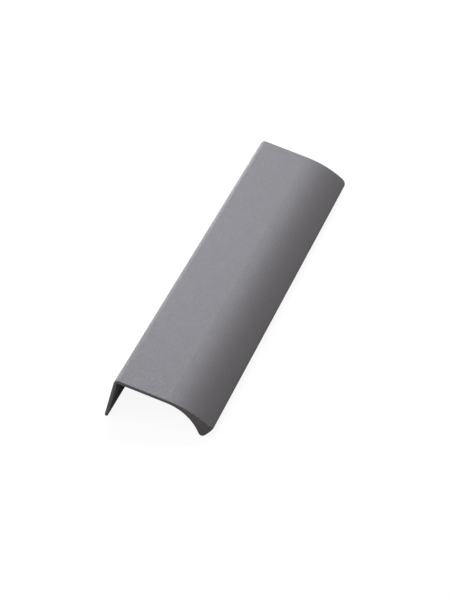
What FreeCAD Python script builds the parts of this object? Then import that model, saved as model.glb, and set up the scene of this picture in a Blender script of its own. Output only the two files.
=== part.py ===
# Finger pull profile for a handleless drawer or door front.
#
# One length of extruded aluminium, coated all over in dark grey. A short leg goes down
# behind the board and is screwed to it, a flat plate lies on the board's top edge, and
# a lip curls over the front. Fingers reach into the hollow groove under the lip. The
# leg's end is fully round, and the lip's two front corners are rounded in plan.
#
# The section is drawn as it is fitted: the leg upright, the plate level, the lip towards +X.
# The sketch's origin is where the leg's outer face and the top face would meet as sharp
# edges. The body then tips forward until it lies on the leg's end and the lip's tip,
# as the loose profile does on a level floor. +Y runs along the profile's length.

import FreeCAD, Part
import Sketcher
import math
import os

doc = FreeCAD.newDocument("finger_pull_profile")

# Driving sizes, in millimetres and degrees

SIZES = [
    ("profile_length", 200.0, "sawn length of one pull"),
    ("overall_width", 40.8, "from the leg's outer face to the front of the lip"),
    ("leg_height", 17.4, "from the top face to the leg's end"),
    ("leg_wall", 1.3, "thickness of the leg"),
    ("plate_wall", 1.3, "thickness of the plate over the board"),
    ("seat_width", 20.1, "flat underside between the leg and the finger groove, for the board"),
    ("top_flat", 21.4, "flat part of the top face, from the leg's outer face"),
    ("top_radius", 42.0, "gentle downward curve of the top face over the lip"),
    ("groove_radius", 18.2, "finger groove in the lip's underside"),
    ("lip_drop", 9.4, "from the top face to the lip's lowest point"),
    ("nose_radius", 1.0, "front edge of the lip"),
    ("lip_tip_radius", 1.5, "lower edge of the lip, where the fingers pull"),
    ("outer_corner_radius", 1.8, "long outer edge over the leg"),
    ("inner_corner_radius", 0.3, "corner that the board's rear edge meets"),
    ("front_corner_radius", 2.6, "the lip's two front corners, seen from above"),
    ("end_edge_break", 0.15, "rounding of the sawn ends' edges"),
    ("hole_spacing", 160.0, "between the two screw holes"),
    ("hole_drop", 9.0, "from the top face to the screw holes"),
    ("hole_diameter", 3.6, "clearance for a small wood screw"),
    ("countersink_diameter", 5.6, "mouth of the countersink, for the screw's head"),
    ("countersink_angle", 90.0, "full angle of the countersink"),
]

sheet = doc.addObject("Spreadsheet::Sheet", "Sizes")
for row, (alias, value, note) in enumerate(SIZES, start=1):
    sheet.set(f"A{row}", note)
    sheet.set(f"B{row}", str(value))
    sheet.setAlias(f"B{row}", alias)
doc.recompute()


def size(alias):
    """The value of one named cell of the sheet."""
    return float(sheet.get(alias))


def principal_plane(body, role):
    """One of the body's own three origin planes."""
    return next(plane for plane in body.Origin.OriginFeatures if plane.Role == role)


def new_sketch(body, label, role):
    """An empty sketch on one of the body's origin planes."""
    sketch = body.newObject("Sketcher::SketchObject", label)
    sketch.AttachmentSupport = (principal_plane(body, role), [""])
    sketch.MapMode = "FlatFace"
    return sketch


def named_constraint(sketch, name, expression, kind, *where):
    """A dimension that follows the sheet: its first value is only a start."""
    index = sketch.addConstraint(Sketcher.Constraint(kind, *where))
    sketch.renameConstraint(index, name)
    sketch.setExpression(f"Constraints.{name}", expression)


# Centres of the round stretches, worked out from the driving sizes

def nose_centre():
    """Inside the top curve and touching it, at the stated overall width."""
    across = size("overall_width") - size("nose_radius")
    reach = size("top_radius") - size("nose_radius")
    rise = math.sqrt(reach**2 - (across - size("top_flat")) ** 2)
    return across, rise - size("top_radius")


def groove_centre():
    """Straight below the place where the underside leaves the board."""
    return size("leg_wall") + size("seat_width"), -size("plate_wall") - size("groove_radius")


def lip_tip_centre():
    """Outside the groove's circle and touching it, at the stated drop."""
    groove_x, groove_z = groove_centre()
    z = size("lip_tip_radius") - size("lip_drop")
    reach = size("groove_radius") + size("lip_tip_radius")
    return groove_x + math.sqrt(reach**2 - (z - groove_z) ** 2), z


def leg_end_centre():
    """In the middle of the leg's wall, because the leg's end is fully round."""
    return size("leg_wall") / 2, size("leg_wall") / 2 - size("leg_height")


def direction(start, end):
    """Angle of the line from one point to another, in radians."""
    return math.atan2(end[1] - start[1], end[0] - start[0])


def lip_face_normal():
    """Angle of the outward normal of the lip's blunt end, the straight line round both its circles."""
    nose, tip = nose_centre(), lip_tip_centre()
    turn = math.asin((size("lip_tip_radius") - size("nose_radius")) / math.dist(nose, tip))
    return direction(nose, tip) + math.pi / 2 - turn


def rest_tilt():
    """How far the profile tips, in degrees, to lie on the leg's end and the lip's lowest edge."""
    leg, leg_radius = leg_end_centre(), size("leg_wall") / 2
    tilts = []
    for centre, radius in [
        (lip_tip_centre(), size("lip_tip_radius")),
        (nose_centre(), size("nose_radius")),
    ]:
        turn = math.asin((radius - leg_radius) / math.dist(leg, centre))
        tilts.append(math.degrees(direction(leg, centre) - turn))
    return min(tilts)


# The section, drawn once round, clockwise from the leg's outer face

START, END = 1, 2
TOP, LEFT, RIGHT = math.pi / 2, math.pi, 2 * math.pi

profile = doc.addObject("PartDesign::Body", "PullProfile")
profile.Label = "pull_profile"
section = new_sketch(profile, "Section", "XZ_Plane")


def line(start, end):
    """A straight side of the section, and its number in the sketch."""
    points = [FreeCAD.Vector(x, z, 0) for x, z in (start, end)]
    return section.addGeometry(Part.LineSegment(*points), False)


def arc(centre, radius, first, last):
    """A round side of the section, turning anticlockwise between two angles."""
    circle = Part.Circle(FreeCAD.Vector(*centre, 0), FreeCAD.Vector(0, 0, 1), radius)
    return section.addGeometry(Part.ArcOfCircle(circle, first, last), False)


def on_circle(centre, radius, angle):
    """The point of a circle at an angle."""
    return centre[0] + radius * math.cos(angle), centre[1] + radius * math.sin(angle)


leg_wall, plate_wall = size("leg_wall"), size("plate_wall")
corner, inner = size("outer_corner_radius"), size("inner_corner_radius")
top_radius, nose_radius = size("top_radius"), size("nose_radius")
groove_radius, tip_radius = size("groove_radius"), size("lip_tip_radius")
top_centre = size("top_flat"), -top_radius
top_ends = direction(top_centre, nose_centre())
lip_normal = lip_face_normal()
groove_ends = direction(groove_centre(), lip_tip_centre())

leg_outside = line((0, leg_end_centre()[1]), (0, -corner))
outer_corner = arc((corner, -corner), corner, TOP, LEFT)
top_face = line((corner, 0), (top_centre[0], 0))
top_curve = arc(top_centre, top_radius, top_ends, TOP)
nose = arc(nose_centre(), nose_radius, lip_normal, top_ends)
lip_face = line(
    on_circle(nose_centre(), nose_radius, lip_normal),
    on_circle(lip_tip_centre(), tip_radius, lip_normal),
)
lip_tip = arc(lip_tip_centre(), tip_radius, groove_ends - math.pi, lip_normal)
groove = arc(groove_centre(), groove_radius, groove_ends, TOP)
underside = line((groove_centre()[0], -plate_wall), (leg_wall + inner, -plate_wall))
inner_corner = arc((leg_wall + inner, -plate_wall - inner), inner, TOP, LEFT)
leg_inside = line((leg_wall, -plate_wall - inner), (leg_wall, leg_end_centre()[1]))
leg_end = arc(leg_end_centre(), leg_wall / 2, LEFT, RIGHT)

# Every side runs smoothly into the next
for first, first_end, second, second_end in [
    (leg_outside, END, outer_corner, END),
    (outer_corner, START, top_face, START),
    (top_face, END, top_curve, END),
    (top_curve, START, nose, END),
    (nose, START, lip_face, START),
    (lip_face, END, lip_tip, END),
    (lip_tip, START, groove, START),
    (groove, END, underside, START),
    (underside, END, inner_corner, START),
    (inner_corner, END, leg_inside, START),
    (leg_inside, END, leg_end, END),
    (leg_end, START, leg_outside, START),
]:
    section.addConstraint(Sketcher.Constraint("Tangent", first, first_end, second, second_end))

for upright in (leg_outside, leg_inside):
    section.addConstraint(Sketcher.Constraint("Vertical", upright))
for level in (top_face, underside):
    section.addConstraint(Sketcher.Constraint("Horizontal", level))
X_AXIS, Z_AXIS, ORIGIN_POINT = -1, -2, (-1, 1)
section.addConstraint(Sketcher.Constraint("PointOnObject", leg_outside, START, Z_AXIS))
section.addConstraint(Sketcher.Constraint("PointOnObject", top_face, START, X_AXIS))

CENTRE = 3
for name, side, start_value in [
    ("outer_corner_radius", outer_corner, corner),
    ("top_radius", top_curve, top_radius),
    ("nose_radius", nose, nose_radius),
    ("lip_tip_radius", lip_tip, tip_radius),
    ("groove_radius", groove, groove_radius),
    ("inner_corner_radius", inner_corner, inner),
]:
    named_constraint(section, name, f"Sizes.{name}", "Radius", side, start_value)

for name, expression, kind, *points in [
    ("leg_wall", "Sizes.leg_wall", "DistanceX", *ORIGIN_POINT, leg_inside, END),
    ("leg_down", "Sizes.leg_height - Sizes.leg_wall / 2", "DistanceY", leg_end, CENTRE, *ORIGIN_POINT),
    ("plate_wall", "Sizes.plate_wall", "DistanceY", underside, START, *ORIGIN_POINT),
    ("seat_width", "Sizes.seat_width", "DistanceX", leg_inside, START, underside, START),
    ("top_flat", "Sizes.top_flat", "DistanceX", *ORIGIN_POINT, top_face, END),
    ("nose_across", "Sizes.overall_width - Sizes.nose_radius", "DistanceX", *ORIGIN_POINT, nose, CENTRE),
    ("tip_down", "Sizes.lip_drop - Sizes.lip_tip_radius", "DistanceY", lip_tip, CENTRE, *ORIGIN_POINT),
]:
    named_constraint(section, name, expression, kind, *points, 1.0)
doc.recompute()
if not section.FullyConstrained:
    raise RuntimeError("the section's sketch isn't fully constrained")

# The extrusion, its sawn ends, its two front corners and its screw holes

length = profile.newObject("PartDesign::Pad", "Extrusion")
length.Profile = section
length.SideType = "Symmetric"
length.setExpression("Length", "Sizes.profile_length")
doc.recompute()


def end_edges(shape, half_length):
    """Names of the edges round the two sawn ends."""
    return [
        f"Edge{number}"
        for number, edge in enumerate(shape.Edges, start=1)
        if all(abs(abs(corner.Y) - half_length) < 1e-6 for corner in edge.Vertexes)
    ]


sawn_ends = profile.newObject("PartDesign::Fillet", "SawnEnds")
sawn_ends.Base = (length, end_edges(length.Shape, size("profile_length") / 2))
sawn_ends.setExpression("Radius", "Sizes.end_edge_break")
doc.recompute()

half, front = size("profile_length") / 2, size("overall_width")
rounding = size("front_corner_radius")
corners = new_sketch(profile, "FrontCornersPlan", "XY_Plane")
for side in (-1, 1):
    # The waste outside the rounded corner, drawn from the sawn end round to the front
    points = [
        (front - rounding, side * half),
        (front - rounding, side * (half + rounding)),
        (front + rounding, side * (half + rounding)),
        (front + rounding, side * (half - rounding)),
        (front, side * (half - rounding)),
    ]
    out, across, back, inwards = (
        corners.addGeometry(
            Part.LineSegment(FreeCAD.Vector(*first, 0), FreeCAD.Vector(*second, 0)), False
        )
        for first, second in zip(points, points[1:])
    )
    middle = FreeCAD.Vector(front - rounding, side * (half - rounding), 0)
    turn = Part.Circle(middle, FreeCAD.Vector(0, 0, 1), rounding)
    first_angle = min(0, side * math.pi / 2)
    quarter = corners.addGeometry(
        Part.ArcOfCircle(turn, first_angle, first_angle + math.pi / 2), False
    )
    at_front, at_end = (START, END) if side > 0 else (END, START)
    for first, first_end, second, second_end in [
        (out, END, across, START),
        (across, END, back, START),
        (back, END, inwards, START),
        (inwards, END, quarter, at_front),
        (quarter, at_end, out, START),
    ]:
        corners.addConstraint(
            Sketcher.Constraint("Coincident", first, first_end, second, second_end)
        )
    for kind, segment in [
        ("Vertical", out), ("Horizontal", across), ("Vertical", back), ("Horizontal", inwards)
    ]:
        corners.addConstraint(Sketcher.Constraint(kind, segment))
    corners.addConstraint(Sketcher.Constraint("Horizontal", quarter, at_front, quarter, CENTRE))
    corners.addConstraint(Sketcher.Constraint("Vertical", quarter, at_end, quarter, CENTRE))
    end = "near" if side < 0 else "far"
    upwards = [(*ORIGIN_POINT, quarter, CENTRE), (quarter, CENTRE, *ORIGIN_POINT)][side < 0]
    outwards = [(out, START, out, END), (out, END, out, START)][side < 0]
    for name, expression, kind, points in [
        ("radius", "Sizes.front_corner_radius", "Radius", (quarter,)),
        ("front", "Sizes.overall_width - Sizes.front_corner_radius", "DistanceX",
         (*ORIGIN_POINT, quarter, CENTRE)),
        ("end", "Sizes.profile_length / 2 - Sizes.front_corner_radius", "DistanceY", upwards),
        ("past_end", "Sizes.front_corner_radius", "DistanceY", outwards),
        ("past_front", "Sizes.front_corner_radius", "DistanceX", (inwards, END, inwards, START)),
    ]:
        named_constraint(corners, f"{end}_{name}", expression, kind, *points, 1.0)
doc.recompute()
if not corners.FullyConstrained:
    raise RuntimeError("the front corners' sketch isn't fully constrained")

front_corners = profile.newObject("PartDesign::Pocket", "FrontCorners")
front_corners.Profile = corners
front_corners.SideType = "Symmetric"
front_corners.setExpression("Length", "Sizes.leg_height * 2")
doc.recompute()
if not front_corners.Shape.Volume < sawn_ends.Shape.Volume - 1:
    raise RuntimeError("the front corners cut nothing")

hole_places = new_sketch(profile, "HolePlaces", "YZ_Plane")
for number, side in enumerate((-1, 1)):
    centre = FreeCAD.Vector(side * size("hole_spacing") / 2, -size("hole_drop"), 0)
    circle = Part.Circle(centre, FreeCAD.Vector(0, 0, 1), size("hole_diameter") / 2)
    hole_places.addGeometry(circle, False)
    ends = [(*ORIGIN_POINT, number, CENTRE), (number, CENTRE, *ORIGIN_POINT)]
    named_constraint(
        hole_places, f"along_{number}", "Sizes.hole_spacing / 2", "DistanceX", *ends[side < 0], 1.0
    )
    named_constraint(hole_places, f"down_{number}", "Sizes.hole_drop", "DistanceY", *ends[1], 1.0)
    named_constraint(
        hole_places, f"bore_{number}", "Sizes.hole_diameter / 2", "Radius", number, 1.0
    )
doc.recompute()

screw_holes = profile.newObject("PartDesign::Hole", "ScrewHoles")
screw_holes.Profile = hole_places
screw_holes.Reversed = True
screw_holes.DepthType = "Dimension"
screw_holes.DrillPoint = "Flat"
screw_holes.HoleCutType = "Countersink"
screw_holes.HoleCutCustomValues = True
screw_holes.setExpression("Diameter", "Sizes.hole_diameter")
screw_holes.setExpression("Depth", "Sizes.leg_wall + Sizes.leg_wall / 2")
screw_holes.setExpression("HoleCutDiameter", "Sizes.countersink_diameter")
screw_holes.setExpression("HoleCutCountersinkAngle", "Sizes.countersink_angle")
profile.Tip = screw_holes
doc.recompute()
if not screw_holes.Shape.Volume < front_corners.Shape.Volume - 1:
    raise RuntimeError("the screw holes cut nothing")

# The loose profile lies on its leg's end and its lip's tip, centred over the origin

tipped = FreeCAD.Rotation(FreeCAD.Vector(0, 1, 0), rest_tilt())
profile.Placement = FreeCAD.Placement(FreeCAD.Vector(), tipped)
doc.recompute()
lying = profile.Shape.optimalBoundingBox(False)
profile.Placement = FreeCAD.Placement(FreeCAD.Vector(-lying.Center.x, 0, -lying.ZMin), tipped)
doc.recompute()

# Checks, then one file for the one piece

for item in doc.Objects:
    if {"Invalid", "Error"} & set(item.State):
        raise RuntimeError(f"{item.Label} failed: {item.State}")
if profile.Shape.isNull() or not profile.Shape.isValid() or len(profile.Shape.Solids) != 1:
    raise RuntimeError("the profile isn't one valid solid")

os.makedirs("parts", exist_ok=True)
profile.Shape.exportStep(f"parts/{profile.Label}.step")
final = profile.Shape.optimalBoundingBox(False)
print(f"tilt {rest_tilt():.4f} degrees, moved by {tuple(round(v, 4) for v in profile.Placement.Base)}")
print(f"box {final.XLength:.3f} x {final.YLength:.3f} x {final.ZLength:.3f} mm, lowest {final.ZMin:.4f}")
print(f"volume {profile.Shape.Volume:.1f} mm3")
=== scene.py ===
import math

import bpy
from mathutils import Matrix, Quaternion, Vector

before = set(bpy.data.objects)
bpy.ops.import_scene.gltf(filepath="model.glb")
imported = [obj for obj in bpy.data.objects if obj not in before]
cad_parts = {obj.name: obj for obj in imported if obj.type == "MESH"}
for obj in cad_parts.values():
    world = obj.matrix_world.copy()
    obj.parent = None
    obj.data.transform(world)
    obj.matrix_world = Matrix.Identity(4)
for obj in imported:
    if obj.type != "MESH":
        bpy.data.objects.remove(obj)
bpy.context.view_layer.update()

# The finger pull: one sawn length of extruded aluminium, deburred and powder coated all over.
# The coat is a dark, slightly warm grey with a satin face. It is sprayed as powder and baked,
# so it carries a very fine even grain and a faint mottle where the film varies in thickness.

COAT_COLOUR = (0.0510, 0.0450, 0.0440)
COAT_ROUGHNESS = 0.54
COAT_IOR = 1.5
GRAIN_SIZE = 0.00035
GRAIN_DETAIL = 1.0
GRAIN_HEIGHT = 0.000030
GRAIN_GLOSS = 0.06
GRAIN_TINT = 0.20
MOTTLE_SIZE = 0.0070
MOTTLE_DETAIL = 3.0
MOTTLE_TINT = 0.05
NOISE_LOW = 0.3
NOISE_HIGH = 0.7


def powder_coat():
    """Base grey, varied a little by two noises: the baked powder's grain and a broad mottle."""
    material = bpy.data.materials.new("grey_powder_coat")
    material.use_nodes = True
    nodes, links = material.node_tree.nodes, material.node_tree.links
    shader = nodes["Principled BSDF"]
    shader.inputs["IOR"].default_value = COAT_IOR
    place = nodes.new("ShaderNodeTexCoord")

    def noise(size, detail):
        """A noise on the pull's own coordinates, with one wave in each `size` metres."""
        texture = nodes.new("ShaderNodeTexNoise")
        texture.inputs["Scale"].default_value = 1 / size
        texture.inputs["Detail"].default_value = detail
        links.new(place.outputs["Object"], texture.inputs["Vector"])
        return texture.outputs["Fac"]

    def between(value, low, high):
        """Spreads the noise's usual range evenly from low to high, and holds it there past both."""
        span = nodes.new("ShaderNodeMapRange")
        span.inputs["From Min"].default_value = NOISE_LOW
        span.inputs["From Max"].default_value = NOISE_HIGH
        span.inputs["To Min"].default_value = low
        span.inputs["To Max"].default_value = high
        links.new(value, span.inputs["Value"])
        return span.outputs["Result"]

    grain = noise(GRAIN_SIZE, GRAIN_DETAIL)
    mottle = noise(MOTTLE_SIZE, MOTTLE_DETAIL)
    both = nodes.new("ShaderNodeMath")
    both.operation = "MULTIPLY"
    links.new(between(grain, 1 - GRAIN_TINT, 1 + GRAIN_TINT), both.inputs[0])
    links.new(between(mottle, 1 - MOTTLE_TINT, 1 + MOTTLE_TINT), both.inputs[1])
    tint = nodes.new("ShaderNodeVectorMath")
    tint.operation = "SCALE"
    tint.inputs[0].default_value = COAT_COLOUR
    links.new(both.outputs["Value"], tint.inputs["Scale"])
    links.new(tint.outputs["Vector"], shader.inputs["Base Color"])
    gloss = between(grain, COAT_ROUGHNESS + GRAIN_GLOSS, COAT_ROUGHNESS - GRAIN_GLOSS)
    links.new(gloss, shader.inputs["Roughness"])
    bump = nodes.new("ShaderNodeBump")
    bump.inputs["Strength"].default_value = 1.0
    bump.inputs["Distance"].default_value = GRAIN_HEIGHT
    links.new(grain, bump.inputs["Height"])
    links.new(bump.outputs["Normal"], shader.inputs["Normal"])
    return material


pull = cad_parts["pull_profile"]
pull.data.materials.clear()
pull.data.materials.append(powder_coat())

# The floor: one pale sheet that runs out past every view. It keeps the pull's soft shadow,
# and for the camera most of its light is its own, as in a studio picture on white.

FLOOR_HALF_SIDE = 6.0
FLOOR_GREY = 0.66
FLOOR_GREY_SEEN = 0.11
FLOOR_LIFT = 0.91
FLOOR_ROUGHNESS = 0.9
WHITE = (1, 1, 1, 1)

bpy.ops.mesh.primitive_plane_add(size=2 * FLOOR_HALF_SIDE, location=(0, 0, 0))
floor = bpy.context.object
floor.name = "floor"
paint = bpy.data.materials.new("pale_floor")
paint.use_nodes = True
floor_nodes, floor_links = paint.node_tree.nodes, paint.node_tree.links
floor_shader = floor_nodes["Principled BSDF"]
floor_shader.inputs["Roughness"].default_value = FLOOR_ROUGHNESS
floor_shader.inputs["Specular IOR Level"].default_value = 0.0
floor_shader.inputs["Emission Color"].default_value = WHITE
ray = floor_nodes.new("ShaderNodeLightPath")
grey = floor_nodes.new("ShaderNodeMapRange")
grey.inputs["To Min"].default_value = FLOOR_GREY
grey.inputs["To Max"].default_value = FLOOR_GREY_SEEN
floor_links.new(ray.outputs["Is Camera Ray"], grey.inputs["Value"])
floor_links.new(grey.outputs["Result"], floor_shader.inputs["Base Color"])
lift = floor_nodes.new("ShaderNodeMath")
lift.operation = "MULTIPLY"
lift.inputs[1].default_value = FLOOR_LIFT
floor_links.new(ray.outputs["Is Camera Ray"], lift.inputs[0])
floor_links.new(lift.outputs["Value"], floor_shader.inputs["Emission Strength"])
floor.data.materials.append(paint)

# The studio: an even white room and four soft boxes. The flat top mirrors the one high up behind
# the pull, the low wide one beside it draws the light line along the rounded long edge, and the
# other two fill the leg's side and the near end.

WORLD_LEVEL = 0.10
WORLD_LEVEL_SEEN = 1.0
LAMP_DISTANCE = 1.6
COOLER_WHITE = (0.985, 1.0, 1.13)
COOL_WHITE = (0.985, 1.0, 1.09)
PLAIN_WHITE = (1.0, 1.0, 1.0)

world = bpy.data.worlds.new("studio")
bpy.context.scene.world = world
world.use_nodes = True
world_nodes, world_links = world.node_tree.nodes, world.node_tree.links
background = world_nodes["Background"]
background.inputs["Color"].default_value = WHITE
seen = world_nodes.new("ShaderNodeLightPath")
shown = world_nodes.new("ShaderNodeMath")
shown.operation = "MAXIMUM"
world_links.new(seen.outputs["Is Camera Ray"], shown.inputs[0])
world_links.new(seen.outputs["Is Glossy Ray"], shown.inputs[1])
level = world_nodes.new("ShaderNodeMapRange")
level.inputs["To Min"].default_value = WORLD_LEVEL
level.inputs["To Max"].default_value = WORLD_LEVEL_SEEN
world_links.new(shown.outputs["Value"], level.inputs["Value"])
world_links.new(level.outputs["Result"], background.inputs["Strength"])


def soft_box(name, azimuth, elevation, width, height, power, colour):
    """An oblong lamp aimed at the pull. Its azimuth runs from +Y towards -X, in degrees."""
    turn, rise = math.radians(azimuth), math.radians(elevation)
    level_part = math.cos(rise)
    towards = Vector((-math.sin(turn) * level_part, math.cos(turn) * level_part, math.sin(rise)))
    lamp = bpy.data.objects.new(name, bpy.data.lights.new(name, "AREA"))
    lamp.data.shape = "RECTANGLE"
    lamp.data.size, lamp.data.size_y = width, height
    lamp.data.energy, lamp.data.color = power, colour
    lamp.location = towards * LAMP_DISTANCE
    lamp.rotation_mode = "QUATERNION"
    lamp.rotation_quaternion = towards.to_track_quat("Z", "Y")
    bpy.context.scene.collection.objects.link(lamp)


soft_box("top_box", azimuth=5, elevation=44, width=0.6, height=0.6, power=20.3, colour=COOLER_WHITE)
soft_box("edge_box", azimuth=33, elevation=14, width=0.85, height=0.8, power=13.9, colour=COOL_WHITE)
soft_box("side_box", azimuth=110, elevation=30, width=1.2, height=1.2, power=17.5, colour=PLAIN_WHITE)
soft_box("front_box", azimuth=180, elevation=30, width=1.2, height=1.2, power=9.6, colour=PLAIN_WHITE)

# The camera stands where the photograph was taken: in front of the near end, a metre off,
# looking 32 degrees down through a long lens. Colours are shown plain, with no film curve.

CAMERA_PLACE = (0.23032, -0.86371, 0.55706)
CAMERA_TURN = (0.8639873, 0.4815853, 0.0514555, 0.1376729)
LENS_MM = 155.29
SENSOR_WIDTH_MM = 36.0
NEAREST_SEEN = 0.05
FARTHEST_SEEN = 50

camera = bpy.data.objects.new("camera", bpy.data.cameras.new("camera"))
camera.data.sensor_width = SENSOR_WIDTH_MM
camera.data.lens = LENS_MM
camera.location = CAMERA_PLACE
camera.rotation_mode = "QUATERNION"
camera.rotation_quaternion = Quaternion(CAMERA_TURN)
camera.data.clip_start, camera.data.clip_end = NEAREST_SEEN, FARTHEST_SEEN
bpy.context.scene.collection.objects.link(camera)
bpy.context.scene.camera = camera

bpy.context.scene.view_settings.view_transform = "Standard"
